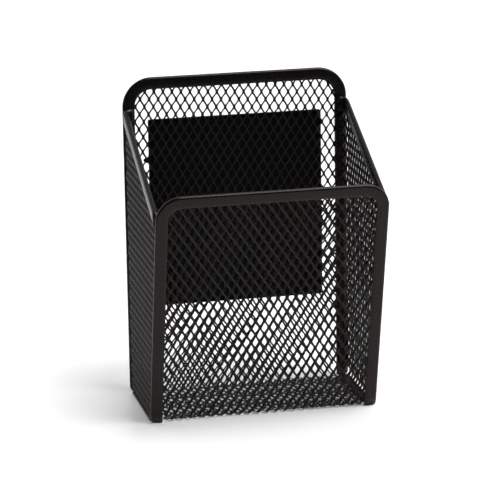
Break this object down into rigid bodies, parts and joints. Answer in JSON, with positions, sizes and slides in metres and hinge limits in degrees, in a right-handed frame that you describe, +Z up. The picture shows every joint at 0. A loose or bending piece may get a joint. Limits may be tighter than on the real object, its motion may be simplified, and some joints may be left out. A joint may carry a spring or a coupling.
{
  "type": "wire mesh wall pocket",
  "caption": "Open-topped black expanded-metal pocket with a tall flat back, a lower leaning front, sloping sides, folded steel edge strips and a magnet sheet glued behind the back.",
  "frame": {"origin": "middle of the object's box in plan, at the floor it stands on", "axes": "+Z up, +Y towards the magnet sheet behind the back, +X across the width"},
  "size_m": [0.1088, 0.0832, 0.1524],
  "materials": {
    "coated_mesh": "satin black powder coat over expanded steel",
    "coated_strip": "satin black powder coat over folded steel strip",
    "magnet_rubber": "matt dark flexible magnet sheet",
    "adhesive": "thin dark double-sided adhesive film"
  },
  "bodies": {
    "root": {"back_mesh": "coated_mesh", "back_bend_mesh": "coated_mesh", "bottom_mesh": "coated_mesh", "front_bend_mesh": "coated_mesh", "front_mesh": "coated_mesh", "left_side_mesh": "coated_mesh", "right_side_mesh": "coated_mesh", "back_rim": "coated_strip", "front_rim": "coated_strip", "left_side_rail": "coated_strip", "right_side_rail": "coated_strip", "magnet_sheet": "magnet_rubber", "magnet_adhesive": "adhesive"}
  },
  "joints": []
}
